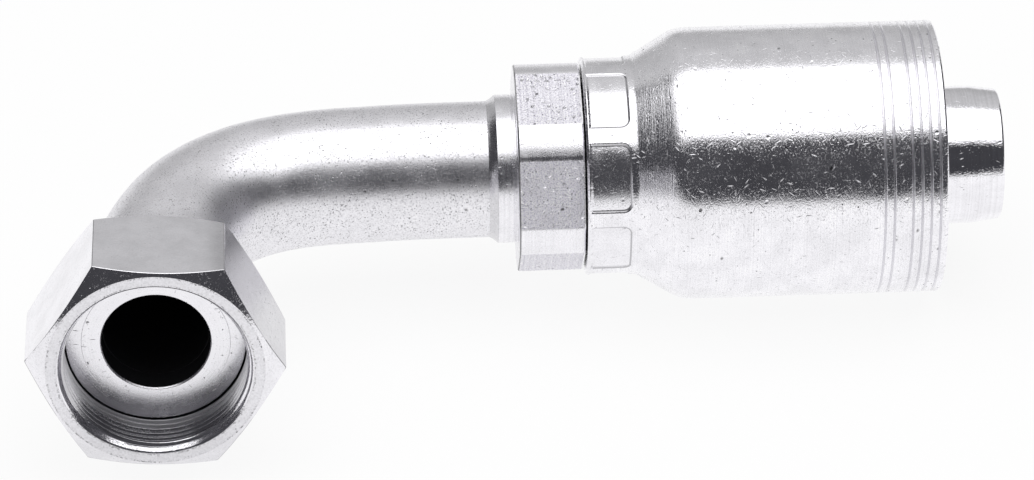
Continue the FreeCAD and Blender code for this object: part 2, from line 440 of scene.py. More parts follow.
def make_tube():
    start = nose_socket_floor
    end = stem_socket_floor - bend_radius + bend_length + bend_start
    profile = [
        *((along, tube_radius) for along in np.linspace(start, end, tube_rows)),
        (end, tube_dark_radius),
        *((along, tube_bore_radius) for along in np.linspace(end, start, tube_bore_rows)),
        (start, tube_dark_radius),
    ]
    return turned("tube", profile, on_tube_axis, tube_paint)


def tube_paint(along, radius):
    """Second material, the bore's near-black painted shade, on the walls of the bore and the inner
    edges of its end faces.
    """
    return radius < tube_dark_radius + slack


# Seal nose

def make_nose():
    corners = [
        (0, nose_bore_radius + nose_bore_chamfer, nose_bore_round),
        (0, tool_line_radius - tool_line_half_width, tool_line_round),
        (tool_line_depth, tool_line_radius, tool_line_round),
        (0, tool_line_radius + tool_line_half_width, tool_line_round),
        (0, flange_radius, flange_round),
        (flange_thickness, flange_radius, flange_round),
        (flange_thickness, nose_neck_radius, neck_root_round),
        (nose_length - nose_end_chamfer, nose_neck_radius, nose_end_round),
        (nose_length, nose_neck_radius - nose_end_chamfer, nose_end_round),
        (nose_length, socket_radius),
        (nose_socket_floor, socket_radius),
        (nose_socket_floor, nose_bore_radius),
        (nose_bore_chamfer, nose_bore_radius, nose_bore_round),
    ]
    return turned("seal_nose", outline(corners), on_nut_axis, nose_paint)


def nose_paint(along, radius):
    """Second material, the bore's near-black painted shade, in the flow bore and on the flange's
    side and back, inside the nut where shade falls.
    """
    in_nut = (along > nose_lit_depth) & (along < nut_rear) & (radius > nose_neck_radius)
    return (radius <= nose_bore_radius) | in_nut


# Swivel nut

def nut_side(angle):
    """Distance from the axis to the nut's hexagon at an angle, its corners rounded."""
    from_corner = abs(from_nearest(angle, nut_turn, sixth_turn))
    straight = nut_half_flats / math.cos(sixth_turn / 2 - from_corner)
    round_centre = (nut_half_flats - nut_corner_round) / math.cos(sixth_turn / 2)
    aside = round_centre * math.sin(from_corner)
    if aside >= nut_corner_round:
        return straight
    bowed = round_centre * math.cos(from_corner) + math.sqrt(nut_corner_round ** 2 - aside ** 2)
    return min(straight, bowed)


def nut_angles():
    """Even angles, with more of them beside the hexagon's corners."""
    corners = nut_turn + np.arange(6) * sixth_turn
    steps = np.radians(corner_steps)
    exact = corners[:, None] + np.concatenate([-steps, [0], steps])
    return with_even_angles(exact.ravel(), corners, math.radians(corner_gap))


def thread_radius(turns):
    """Thread at a count of turns from a crest: crest at the minor radius, root outside it."""
    from_crest = abs((turns + 0.5) % 1 - 0.5)
    shifts = (-thread_round, 0, thread_round)
    height = sum(
        np.clip((from_crest + shift - thread_crest) / thread_flank, 0, 1) for shift in shifts
    )
    return thread_minor_radius + thread_depth * height / len(shifts)


def thread_rows(angle):
    """
    Inner wall of the nut's mouth from the relief to the countersink, with rows that wind with
    the thread, and the count of rows in one turn.
    """
    end = nut_front + countersink_break
    flank_end = thread_crest + thread_flank
    half_turn = sorted([
        0, thread_crest - thread_round, thread_crest, thread_crest + thread_round,
        *np.linspace(thread_crest, flank_end, flank_rows)[1:-1],
        flank_end - thread_round, flank_end, flank_end + thread_round,
    ])
    one_turn = [*half_turn, 0.5, *(1 - part for part in reversed(half_turn[1:]))]
    turns = math.ceil((relief_start - end) / thread_pitch) + spare_turns
    winding = np.array([turn + part for turn in range(turns) for part in one_turn] + [turns])
    ahead = spare_turns - thread_phase - angle / (2 * math.pi)
    along = np.clip(relief_start - thread_pitch * (winding - ahead), end, relief_start)
    thread = thread_radius((relief_start - along) / thread_pitch + ahead)
    countersink = countersink_radius - countersink_break - countersink_slope * (along - end)
    return np.stack([along, np.maximum(thread, countersink)], -1), len(one_turn)


def nut_outline(angle):
    side = nut_side(angle)
    rise = (side - nut_chamfer_radius) * nut_chamfer_slope
    relief_slope = relief_run * (relief_radius - thread_minor_radius)
    return outline([
        (nut_front, countersink_radius, mouth_round),
        (nut_front, nut_chamfer_radius, nut_face_round),
        (nut_front + rise, side, nut_edge_round),
        (nut_rear - rise, side, nut_edge_round),
        (nut_rear, nut_chamfer_radius, nut_face_round),
        (nut_rear, nut_rear_bore_radius + nut_bore_chamfer, nut_bore_round),
        (nut_rear - nut_bore_chamfer, nut_rear_bore_radius, nut_bore_round),
        (nut_shoulder, nut_rear_bore_radius),
        (nut_shoulder, relief_radius),
        (relief_start + relief_slope, relief_radius),
    ])


def nut_paint(angles):
    """
    Second material, darker with painted shade, on the thread, third on the front face, fourth on
    the chamfers, fifth, the bore's near-black painted shade, in the relief, sixth on a darker line
    along each corner and on painted shade round the lower edges.
    """
    lower = np.sin(angles)[:, None] < edge_shade_top
    corner_tip = nut_half_flats / math.cos(sixth_turn / 2)

    def paint(along, radius):
        in_mouth = (along > nut_front + thread_shade_start) & (along < nut_shoulder)
        thread = in_mouth & (radius < relief_radius + slack)
        relief = thread & (along > relief_start - slack)
        face = (along < nut_front + slack) & (radius < nut_chamfer_radius + slack)
        from_end = np.minimum(along - nut_front, nut_rear - along)
        rise = (radius - nut_chamfer_radius) * nut_chamfer_slope
        chamfer = (rise > 0) & (from_end < rise * chamfer_share)
        edge = lower & (radius > nut_chamfer_radius + edge_shade_inner)
        edge &= from_end < rise + edge_shade_width
        worn_and_shaded = edge | (radius > corner_tip - corner_line_depth)
        return np.select([relief, thread, face, chamfer, worn_and_shaded], [4, 1, 2, 3, 5], 0)

    return paint


def make_nut():
    angles = nut_angles()
    outside = [nut_outline(angle) for angle in angles]
    walls = [thread_rows(angle) for angle in angles]
    columns = [np.concatenate([rows, wall[0]]) for rows, wall in zip(outside, walls)]
    helix = (len(outside[0]), walls[0][1])
    return skin("swivel_nut_threaded", columns, angles, on_nut_axis, nut_paint(angles), helix)


# Hose stem

def barb_corners():
    crest_round, foot_round, run_round = barb_rounds
    barb = [
        (0, nipple_radius, crest_round),
        (0, nipple_radius - barb_depth, foot_round),
        (barb_length, nipple_radius, run_round),
    ]
    return repeated(barb, barb_start + barb_pitch * np.arange(barb_count))


def stem_angles():
    """Even angles and the exact edges of the wrench flats."""
    half_flat = math.acos(wrench_half_flats / wrench_bar_radius)
    centres = wrench_turn + np.arange(6) * sixth_turn
    edges = np.concatenate([centres - half_flat, centres + half_flat])
    return with_even_angles(edges, edges, math.radians(wrench_gap))


def make_stem():
    profile = outline([
        (stem_face, socket_radius),
        (stem_face, collar_radius, collar_round),
        (groove_left, collar_radius, collar_groove_round),
        (groove_left, collar_radius - collar_groove_depth),
        (groove_right, collar_radius - collar_groove_depth),
        (groove_right, collar_radius, collar_groove_round),
        (wrench_left, collar_radius, wrench_bar_round),
        (wrench_left, wrench_bar_radius - wrench_edge, wrench_side_round),
        (wrench_left + wrench_edge, wrench_bar_radius, wrench_bar_round),
        (wrench_right - wrench_edge, wrench_bar_radius, wrench_bar_round),
        (wrench_right, wrench_bar_radius - wrench_edge, wrench_side_round),
        (wrench_right, lock_groove_radius),
        (lock_left, lock_groove_radius),
        (lock_left, lock_collar_radius, lock_collar_round),
        (lock_right, lock_collar_radius, nipple_round),
        (lock_right + lock_collar_radius - nipple_radius, nipple_radius, nipple_round),
        *barb_corners(),
        (nipple_tip - tip_taper_length, nipple_radius, nipple_round),
        (nipple_tip, tip_radius, tip_round),
        (nipple_tip, stem_bore_radius + stem_bore_chamfer, stem_bore_round),
        (nipple_tip - stem_bore_chamfer, stem_bore_radius, stem_bore_round),
        (stem_socket_floor, stem_bore_radius),
        (stem_socket_floor, socket_radius),
    ])
    angles = stem_angles()
    columns = np.repeat(profile[None], len(angles), 0)
    along = profile[:, 0]
    on_wrench = (along > wrench_left - same_place) & (along < wrench_right + same_place)
    flat = wrench_half_flats / np.cos(from_nearest(angles, wrench_turn, sixth_turn))
    columns[:, on_wrench, 1] = np.minimum(columns[:, on_wrench, 1], flat[:, None])
    return skin("stem", columns, angles, on_hose_axis, stem_paint)


def stem_paint(along, radius):
    """
    Second material, the bore's near-black painted shade, in the flow bore and behind the wrench
    collar, third on its flats, fourth on the nipple, fifth on the collar's bevel.
    """
    on_bar = (along > wrench_left + wrench_edge) & (along < wrench_right - wrench_edge)
    flat = on_bar & (radius < wrench_bar_radius - same_place) & (radius > collar_radius)
    nipple = along > lock_right
    in_ferrule = (along > wrench_right - slack) & (along < lock_right)
    unlit = (radius <= stem_bore_radius) | in_ferrule
    bevel = (along > wrench_left + slack) & (along < wrench_left + wrench_edge)
    bevel &= radius > collar_radius + wrench_face_height
    return np.select([unlit, flat, nipple, bevel], [1, 2, 3, 4], 0)


# Crimp ferrule

def rim_groove_corners():
    groove = [
        (-groove_width / 2, ferrule_radius, groove_edge_round),
        (0, ferrule_radius - groove_depth, groove_floor_round),
        (groove_width / 2, ferrule_radius, groove_edge_round),
    ]
    return repeated(groove, reversed(groove_middles))


def grip_corners():
    half_base, half_crest = grip_base / 2, grip_crest / 2
    tooth = [
        (half_base, shell_radius), (half_crest, grip_radius),
        (-half_crest, grip_radius), (-half_base, shell_radius),
    ]
    first = rim - grip_start - half_base
    return repeated(tooth, first - grip_pitch * np.arange(grip_count))


def pocket_press(along, angle):
    """How deep the nearest pocket is pressed at a place on the ferrule's neck."""
    across = from_nearest(angle, pocket_turn, 2 * math.pi / pocket_count) * ferrule_neck_radius
    half_width = pocket_half_angle * ferrule_neck_radius
    half_length = (pocket_right - pocket_left) / 2
    middle = (pocket_left + pocket_right) / 2
    corner = np.where(along > middle, pocket_corner, pocket_lip_corner)
    out_along = abs(along - middle) - half_length + corner
    out_across = abs(across) - half_width + corner
    outside = np.hypot(np.maximum(out_along, 0), np.maximum(out_across, 0))
    inside = np.minimum(np.maximum(out_along, out_across), 0)
    edge = np.clip(-(outside + inside - corner) / pocket_wall, 0, 1)
    return pocket_depth * edge * edge * (3 - 2 * edge)


def neck_rows():
    """Rows of the ferrule's neck, close together beside the pockets' ends."""
    left_start = lip + lip_chamfer + neck_row_from_lip
    left_end = pocket_left + pocket_wall + neck_row_margin
    right_start = pocket_right - pocket_corner - neck_row_past_corner
    left = np.arange(left_start, left_end, neck_row_fine)
    right = np.arange(right_start, pocket_right + neck_row_margin, neck_row_fine)
    middle = np.arange(left[-1] + neck_row_fine, right_start, neck_row_coarse)
    return [(along, ferrule_neck_radius) for along in (*left, *middle, *right)]


def ferrule_angles():
    """Even angles, close together beside the pockets' sides."""
    fine = math.radians(pocket_side_step)
    steps = round((pocket_corner + pocket_side_margin) / ferrule_neck_radius / fine)
    from_centre = pocket_half_angle + fine * (1 - np.arange(steps))
    centres = pocket_turn + np.arange(pocket_count) * 2 * math.pi / pocket_count
    exact = (centres[:, None] + np.concatenate([-from_centre, from_centre])).ravel()
    return with_even_angles(exact, exact, 2 * fine)


def make_ferrule():
    profile = outline([
        (lip, ferrule_land_radius),
        (lip, ferrule_neck_radius - lip_chamfer, lip_face_round),
        (lip + lip_chamfer, ferrule_neck_radius, lip_round),
        *neck_rows(),
        (flare_start, ferrule_neck_radius, flare_foot_round),
        (flare_end, ferrule_radius, flare_crown_round),
        *rim_groove_corners(),
        (rim - rim_chamfer, ferrule_radius, rim_round),
        (rim, ferrule_radius - rim_chamfer, rim_round),
        (rim, shell_radius + mouth_chamfer, shell_round),
        (rim - mouth_chamfer, shell_radius, shell_round),
        *grip_corners(),
        (hose_stop, shell_radius, hose_stop_round),
        (hose_stop - shell_radius + collar_room_radius, collar_room_radius, hose_stop_round),
        (land_end, collar_room_radius),
        (land_end, ferrule_land_radius),
    ])
    along, radius = profile.T
    angles = ferrule_angles()
    columns = np.repeat(profile[None], len(angles), 0)
    lip_radius = ferrule_neck_radius - lip_chamfer
    on_neck = (radius > lip_radius) & (along < flare_start)
    columns[..., 1] -= pocket_press(along, angles[:, None]) * on_neck
    spread = np.repeat(angles[:, None], len(profile), 1)
    plain_rows = (radius < lip_radius - plain_margin) | (along > pocket_right + plain_margin)
    even_step = 2 * math.pi / around
    spread[:, plain_rows] = np.round(spread[:, plain_rows] / even_step) * even_step
    return skin("ferrule", columns, spread, on_hose_axis, ferrule_paint)


def ferrule_paint(along, radius):
    """Second material, a darker painted shade, in the rim's grooves, third, a darker painted shade,
    on the pockets' walls but not on the wall by the lip, fourth on their floors.
    """
    beside = np.min([abs(along - middle) for middle in groove_middles], axis=0)
    groove = (beside < groove_shade / 2) & (radius > ferrule_radius - groove_depth - slack)
    pocket = (along > pocket_left) & (along < pocket_right)
    pocket &= radius > ferrule_neck_radius - pocket_depth - slack
    pressed = (ferrule_neck_radius - radius) / pocket_depth
    wall_from, wall_to = pocket_wall_shares
    wall = pocket & (pressed > wall_from) & (pressed < wall_to)
    wall &= along > pocket_left + pocket_wall
    floor = pocket & (pressed >= wall_to)
    return np.select([groove, wall, floor], [1, 2, 3], 0)


# Braze fillets

def fillet_outline(face, face_radius, direction):
    """Hollow fillet on the tube, as high as face_radius at its face."""
    corners = [(face, tube_radius), (face, face_radius)]
    for step in range(1, fillet_steps):
        share = step / fillet_steps
        sag = fillet_hollow * 4 * share * (1 - share)
        along = face - direction * (fillet_length * share - sag * fillet_lean)
        corners.append((along, face_radius + (tube_radius - face_radius) * share - sag))
    corners.append((face - direction * fillet_length, tube_radius + fillet_toe))
    return outline(corners)


# Zinc plate: kinds of strokes, each with its cell size, length, width, share of cells and shift
short_mark = (0.85, 0.38, 0.13, 0.6, 0.0)
long_mark = (2.4, 1.2, 0.17, 0.4, 5.0)
round_dent = (4.7, 0.7, 0.55, 0.35, 11.0)
wide_nick = (2.2, 1.1, 0.5, 1.0, 29.0)
small_pit = (1.1, 0.34, 0.28, 0.5, 17.0)
big_pit = (6.0, 0.75, 0.6, 0.35, 23.0)

# Plate: heights and depths
grain_height = 0.05
short_mark_depth = 0.02
long_mark_depth = 0.05
dent_depth = 0.07
nick_depth = 0.4
pit_depth = 0.06
ring_height = 0.035

# Plate: sizes of the clouds in its noise
cloud_size = 9.0
wave_size = 6.0
patch_size = 3.0
fleck_patch_size = 5.0
grit_size = 0.5
grit_patch_size = 4.5

# Plate: levels of the noise between which an effect comes in
cloud_levels = (0.3, 0.7)
patch_levels = (0.38, 0.62)
fleck_levels = (0.60, 0.68)
fleck_patch_levels = (0.36, 0.62)
pit_cloud_levels = (0.44, 0.6)
spark_levels = (0.51, 0.69)
grit_levels = (0.42, 0.56)
grit_patch_levels = (0.40, 0.60)

# Plate: how strong the effects are
speck_contrast = 4
speck_lift = 1.7
stain_lift = 0.4
stain_roughness = 2
fleck_least = 0.1
pit_least = 0.15
pit_fill = 1.9
pit_shade = 0.75
ring_contrast = 0.5
ring_lift = 0.24
ring_roughness = 2.0
zone_fade_in = 1.0
zone_fade_out = 2.0
nick_polish = 0.85
grit_shade = 0.6
grit_least = 0.1
grit_narrowing = 0.45
zinc_tint = (1.0, 0.99, 1.03)

# Strokes: how they are shifted, turned and weighted
shift_slant = 1.7
full_turn = 6.283
stroke_axis = (0.4, 0.5, 0.77)
strength_least = 0.2
unrolled_radius = 30.0

# Near-black painted shade of the unlit bore and other hollows, with an oily sheen
bore_shade_colour = (0.012, 0.012, 0.014, 1.0)
oil_roughness = 0.55
oil_specular = 0.25
oil_bump = 0.6
oil_grain_depth = 0.1
oil_grain_scale = 900.0


# Materials

def grey(value):
    return (value, value, value, 1.0)


class Nodes:
    """Adds nodes to a material's or a world's tree."""

    def __init__(self, tree):
        self.tree = tree

    def add(self, kind, *values, settings=(), **inputs):
        """Node with its inputs by order or by name. settings are (name, value)."""
        node = self.tree.nodes.new(kind)
        for name, value in settings:
            setattr(node, name, value)
        for name, value in [*enumerate(values), *inputs.items()]:
            if isinstance(value, bpy.types.NodeSocket):
                self.tree.links.new(value, node.inputs[name])
            else:
                node.inputs[name].default_value = value
        return node

    def calc(self, operation, *values):
        settings = [("operation", operation)]
        return self.add("ShaderNodeMath", *values, settings=settings).outputs[0]

    def times(self, first, second):
        return self.calc("MULTIPLY", first, second)

    def vector(self, operation, *values, **inputs):
        """Result of vector math, which is a number for a length or a dot product."""
        settings = [("operation", operation)]
        node = self.add("ShaderNodeVectorMath", *values, settings=settings, **inputs)
        return node.outputs["Value" if operation in ("LENGTH", "DOT_PRODUCT") else "Vector"]

    def ramp(self, value, levels, start, end):
        """Smooth step from start to end while the value goes through the levels."""
        settings = [("interpolation_type", "SMOOTHSTEP")]
        node = self.add("ShaderNodeMapRange", value, *levels, start, end, settings=settings)
        return node.outputs[0]

    def split(self, vector):
        return self.add("ShaderNodeSeparateXYZ", vector).outputs

    def join(self, x, y):
        return self.add("ShaderNodeCombineXYZ", x, y).outputs[0]

    def object_in_mm(self):
        place = self.add("ShaderNodeTexCoord").outputs["Object"]
        return self.vector("SCALE", place, Scale=1 / mm)

    def show(self, shader):
        self.add("ShaderNodeOutputMaterial", Surface=shader.outputs[0])


def new_material(name):
    """Empty material and the maker of its nodes."""
    material = bpy.data.materials.new(name)
    material.use_nodes = True
    material.node_tree.nodes.clear()
    return material, Nodes(material.node_tree)


def unrolled(nodes, axis):
    """Along a turned surface's outline and round its axis, in millimetres."""
    x, y, z = nodes.split(nodes.object_in_mm())
    if axis == "hose":
        along, across, up = x, z, nodes.calc("SUBTRACT", leg_drop, y)
    else:
        along, across, up = y, x, z
    radius = nodes.vector("LENGTH", nodes.join(across, up))
    first = nodes.calc("ADD", along, radius)
    second = nodes.times(nodes.calc("ARCTAN2", across, up), unrolled_radius)
    return nodes.join(first, second)


def strokes(nodes, place, dimensions, kind, amount=1.0):
    """Short dents, one in each cell at most, each in its own direction."""
    spacing, length, width, share, shift = kind
    moved = nodes.vector("ADD", place, (shift, shift * shift_slant, 0))
    cells = nodes.add("ShaderNodeTexVoronoi", settings=[("voronoi_dimensions", dimensions)],
                      Vector=moved, Scale=1 / spacing)
    pick, turn, strength = nodes.add("ShaderNodeSeparateColor", cells.outputs["Color"]).outputs
    beside = nodes.vector("SUBTRACT", moved, cells.outputs["Position"])
    aligned = nodes.add("ShaderNodeVectorRotate", settings=[("rotation_type", "AXIS_ANGLE")],
                        Vector=beside, Axis=(0, 0, 1) if dimensions == "2D" else stroke_axis,
                        Angle=nodes.times(turn, full_turn)).outputs[0]
    shaped = nodes.vector("MULTIPLY", aligned, (1 / length, 1 / width, 1 / width))
    inside = nodes.ramp(nodes.vector("LENGTH", shaped), (0.0, 1.0), 1.0, 0.0)
    kept = nodes.calc("LESS_THAN", pick, share * amount)
    strength = nodes.calc("MULTIPLY_ADD", strength, 1 - strength_least, strength_least)
    return nodes.times(inside, nodes.times(kept, strength))


def grit_circle(nodes, circle, noise):
    """Dark grit along a circle round the nut's axis, thicker in some stretches."""
    x, _, z = nodes.split(nodes.object_in_mm())
    radius = nodes.vector("LENGTH", nodes.join(x, z))
    beside = nodes.calc("ABSOLUTE", nodes.calc("SUBTRACT", radius, circle))
    near = nodes.calc("MULTIPLY_ADD", beside, -grit_narrowing, noise(grit_size))
    grit = nodes.ramp(near, grit_levels, 0.0, grit_shade)
    thick = nodes.ramp(noise(grit_patch_size), grit_patch_levels, grit_least, 1.0)
    return nodes.times(grit, thick)


def steel(name, level, roughness, axis=None, grain=1.0, grain_size=0.8, waves=0.03, marks=1.0,
          dents=1.0, mark_depth=1.0, mark_shade=0.25, nicks=0.0, pits=0.0, rings=0.0,
          ring_size=0.7, ring_zone=None, milled=False, stain=0.06, speckle=0.05, speck_size=0.46,
          flecks=0.0, sparkle=0.1, patchy=0.7, scuff=0.2, tint=zinc_tint, wear_and_shade=None,
          dull_towards=None, grit_circles=()):
    """
    Bright zinc plate with its grain, strokes, dents, nicks, pits, rings of turning and stains.
    An axis lays the texture round it. ring_zone gives (from, to, how much more) along the hose
    axis, and dull_towards (from, to, how much rougher) along the nut's axis.
    """
    material, nodes = new_material(name)
    calc, times, ramp = nodes.calc, nodes.times, nodes.ramp
    place, dimensions = (unrolled(nodes, axis), "2D") if axis else (nodes.object_in_mm(), "3D")

    def noise(size, detail=2.0, rough=0.6):
        return nodes.add("ShaderNodeTexNoise", settings=[("noise_dimensions", dimensions)],
                         Vector=place, Scale=1 / size, Detail=detail,
                         Roughness=rough).outputs["Fac"]

    def stroke(kind, amount=1.0):
        return strokes(nodes, place, dimensions, kind, amount)

    def raised(height, mask, amount):
        return calc("MULTIPLY_ADD", mask, amount, height)

    def darkened(shade, mask, amount, rest=1.0):
        return times(shade, calc("MULTIPLY_ADD", mask, -amount, rest))

    cloud = noise(cloud_size, 3.0)
    dust = noise(speck_size, 2.0, 0.65)
    patches = ramp(noise(patch_size), patch_levels, 1 - patchy, 1.0) if patchy else 1.0
    height = times(noise(grain_size, 2.0, 0.7), grain_height * grain)
    height = raised(height, noise(wave_size, 1.0), waves)
    shade = calc("MULTIPLY_ADD", dust, -speck_contrast * speckle, 1 + speck_lift * speckle)
    shade = times(shade, ramp(cloud, cloud_levels, 1 - stain, 1 + stain * stain_lift))
    if flecks:
        gathered = ramp(noise(fleck_patch_size), fleck_patch_levels, fleck_least, 1.0)
        fleck = times(ramp(dust, fleck_levels, 0.0, flecks), gathered)
        shade = times(shade, calc("SUBTRACT", 1.0, fleck))
    worn_and_shaded = 1.0
    # A side of the part where the marks gather, darker there by a painted shade
    if wear_and_shade:
        direction, levels, least, painted_shade_depth = wear_and_shade
        side = ramp(nodes.vector("DOT_PRODUCT", nodes.object_in_mm(), direction), levels, 0.0, 1.0)
        worn_and_shaded = calc("MULTIPLY_ADD", side, 1 - least, least)
        shade = darkened(shade, side, painted_shade_depth)

    if marks:
        short, long = stroke(short_mark, marks), stroke(long_mark, marks)
        height = raised(height, times(short, worn_and_shaded), -short_mark_depth * mark_depth)
        height = raised(height, times(long, worn_and_shaded), -long_mark_depth * mark_depth)
        mark = times(calc("MAXIMUM", times(short, patches), long), worn_and_shaded)
        shade = darkened(shade, mark, mark_shade)
    if dents:
        height = raised(height, stroke(round_dent, dents), -dent_depth)
    if nicks:
        nick = stroke(wide_nick, nicks)
        height = raised(height, nick, -nick_depth)
    if pits:
        pit = times(stroke(small_pit, pits), ramp(cloud, pit_cloud_levels, pit_least, 1.0))
        pit = calc("MAXIMUM", pit, stroke(big_pit, pits))
        pit = times(calc("MINIMUM", times(pit, pit_fill), 1.0), worn_and_shaded)
        height = raised(height, pit, -pit_depth)
        shade = darkened(shade, pit, pit_shade)
    if rings:
        ring_place = nodes.split(nodes.object_in_mm() if milled else place)[0]
        ring = nodes.add("ShaderNodeTexNoise", settings=[("noise_dimensions", "1D")],
                         W=ring_place, Scale=1 / ring_size, Detail=3.0,
                         Roughness=0.65).outputs["Fac"]
        amount = ring_height * rings
        if ring_zone:
            start, end, more = ring_zone
            along = nodes.split(nodes.object_in_mm())[0]
            begun = ramp(along, (start - zone_fade_in, start + zone_fade_in), 0.0, 1.0)
            not_over = ramp(along, (end - zone_fade_out, end + zone_fade_out), 1.0, 0.0)
            zone = times(begun, not_over)
            amount = calc("MULTIPLY_ADD", zone, more * ring_height, amount)
        height = raised(height, ring, amount)
        shade = darkened(shade, ring, ring_contrast * rings, 1 + ring_lift * rings)
    for circle in grit_circles:
        shade = times(shade, calc("SUBTRACT", 1.0, grit_circle(nodes, circle, noise)))

    least, most = 1 - stain_roughness * stain, 1 + stain_roughness * stain
    rough = ramp(cloud, cloud_levels, roughness * least, roughness * most)
    if rings:
        rough = times(rough, calc("MULTIPLY_ADD", ring, ring_roughness * rings, 1 - rings))
    sparks = times(ramp(dust, spark_levels, 0.0, 1.0), patches)
    rough = calc("MULTIPLY_ADD", sparks, sparkle, rough)
    if marks:
        rough = calc("MULTIPLY_ADD", mark, scuff, rough)
    if nicks:
        rough = calc("MULTIPLY_ADD", nick, -nick_polish * roughness, rough)
    if dull_towards:
        start, end, more = dull_towards
        along = nodes.split(nodes.object_in_mm())[1]
        rough = calc("ADD", rough, ramp(along, (start, end), 0.0, more))

    bump = nodes.add("ShaderNodeBump", Strength=1.0, Distance=mm, Height=height).outputs[0]
    colour = nodes.vector("SCALE", [level * part for part in tint], Scale=shade)
    nodes.show(nodes.add("ShaderNodeBsdfPrincipled", Metallic=1.0, Normal=bump, Roughness=rough,
                         **{"Base Color": colour}))
    return material


def shaded_bore():
    """Unlit, oily inside of the flow bore and other hollows; its near-black colour is painted
    shade.
    """
    material, nodes = new_material("shaded_bore")
    place = nodes.add("ShaderNodeTexCoord").outputs["Object"]
    grain = nodes.add("ShaderNodeTexNoise", Vector=place, Scale=oil_grain_scale, Detail=3.0)
    bump = nodes.add("ShaderNodeBump", Strength=oil_bump, Distance=oil_grain_depth * mm,
                     Height=grain.outputs["Fac"]).outputs[0]
    colours = {"Base Color": bore_shade_colour, "Specular IOR Level": oil_specular}
    nodes.show(nodes.add("ShaderNodeBsdfPrincipled", Metallic=0.0, Roughness=oil_roughness,
                         Normal=bump, **colours))
    return material


# The pieces in their places

# Near-black painted shade for the bore, the nut's relief, the gap behind the wrench collar and the
# nose flange inside the nut
bore = shaded_bore()

tube_steel = steel("tube_zinc", 0.93, 0.33, grain=0.8, grain_size=0.6, waves=0.015, marks=0.4,
                   dents=0.5, pits=2.0, stain=0.05, speckle=0.17, speck_size=0.42, flecks=0.8,
                   sparkle=0.3, patchy=0.0)
dressed(make_tube(), "elbow_tube", "coupling", "tube_plating", tube_steel, bore)

nose_steel = steel("nose_zinc", 0.92, 0.26, axis="nut", grain=0.2, waves=0.0, marks=0.3,
                   dents=0.0, pits=0.08, rings=0.1, stain=0.03, speckle=0.03, sparkle=0.02)
dressed(make_nose(), "face_seal_nose", "coupling", "nose_plating", nose_steel, bore)

# Where the nut is worn and shaded: a direction, the places along it between which the effect comes
# in, the share of marks elsewhere, and how much darker it is there, which is painted shade. The
# right flat gathers the marks and gets the painted shade of the shadowed floor it reflects; below,
# the front face and chamfers get painted shade towards the bottom.
worn_and_shaded_flat = ((0.897, 0.0, 0.443), (25.0, 29.5), 0.25, 0.24)
shaded_below = ((0.0, 0.0, -1.0), (8.0, 26.0), 1.0, 0.14)
nut_steel = steel("nut_zinc", 0.91, 0.15, marks=1.5, dents=0.8, mark_depth=1.5, mark_shade=0.7,
                  pits=0.8, stain=0.09, scuff=0.3, wear_and_shade=worn_and_shaded_flat)
# Painted shade: the thread inside the nut's mouth is darker, as shade falls in its grooves
thread_steel = steel("thread_zinc", 0.60, 0.18, grain=0.4, marks=0.0, dents=0.0, sparkle=0.05,
                     dull_towards=(-7.0, -2.0, 0.25))
face_steel = steel("nut_face_zinc", 0.90, 0.38, grain=0.8, grain_size=0.5, marks=0.5, dents=0.3,
                   pits=0.3, speckle=0.12, wear_and_shade=shaded_below, grit_circles=(26.5, 28.9))
chamfer_steel = steel("nut_chamfer_zinc", 0.90, 0.12, grain=0.9, marks=1.6, dents=0.6,
                      speck_size=0.55, sparkle=0.35, scuff=0.3, wear_and_shade=shaded_below)
# Painted shade round the nut's lower edges, and a darker line along its corners
edge_shade_steel = steel("nut_edge_shade_zinc", 0.42, 0.3, grain=0.8, grain_size=0.5, marks=0.5, dents=0.0,
                   speckle=0.3)
dressed(make_nut(), "swivel_nut", "swivel", "nut_plating", nut_steel, thread_steel, face_steel,
        chamfer_steel, bore, edge_shade_steel)

stem_steel = steel("stem_zinc", 0.94, 0.26, axis="hose", grain=0.3, grain_size=0.45, marks=0.6,
                   dents=0.3, rings=0.3, speckle=0.07, sparkle=0.15)
flat_steel = steel("milled_zinc", 0.98, 0.70, axis="hose", grain=1.2, grain_size=0.5, marks=1.2,
                   dents=1.4, mark_depth=2.0, mark_shade=0.5, nicks=0.5, pits=0.3, rings=0.4,
                   ring_size=0.6, milled=True, speckle=0.25, speck_size=0.45,
                   tint=(1.0, 0.985, 1.05))
nipple_steel = steel("nipple_zinc", 0.92, 0.07, axis="hose", grain=0.6, marks=0.3, dents=0.4,
                     rings=0.5)
bevel_steel = steel("worn_edge_zinc", 0.32, 0.3, axis="hose", grain=0.8, grain_size=0.5,
                    marks=0.5, speckle=0.4)
dressed(make_stem(), "hose_stem", "coupling", "stem_plating", stem_steel, bore, flat_steel,
        nipple_steel, bevel_steel)

ferrule_steel = steel("ferrule_zinc", 0.95, 0.15, axis="hose", grain=0.5, grain_size=0.5,
                      marks=1.5, dents=0.8, mark_depth=1.4, pits=0.12, rings=0.45, ring_size=0.4,
                      ring_zone=(131.0, 143.0, 0.8), stain=0.08, speckle=0.07, sparkle=0.25,
                      scuff=0.35)
# Painted shade: a little darker in the rim's grooves, much darker on the pockets' walls
groove_steel = steel("groove_zinc", 0.84, 0.3, axis="hose", grain=0.5, marks=0.0, dents=0.0)
wall_steel = steel("pocket_wall_zinc", 0.55, 0.3, axis="hose", grain=0.5, marks=0.0, dents=0.0)
pocket_steel = steel("pocket_zinc", 0.93, 0.2, axis="hose", grain=0.4, grain_size=0.6, marks=0.8,
                     dents=0.3, speckle=0.07, sparkle=0.2)
dressed(make_ferrule(), "crimp_ferrule", "coupling", "ferrule_plating", ferrule_steel,
        groove_steel, wall_steel, pocket_steel)

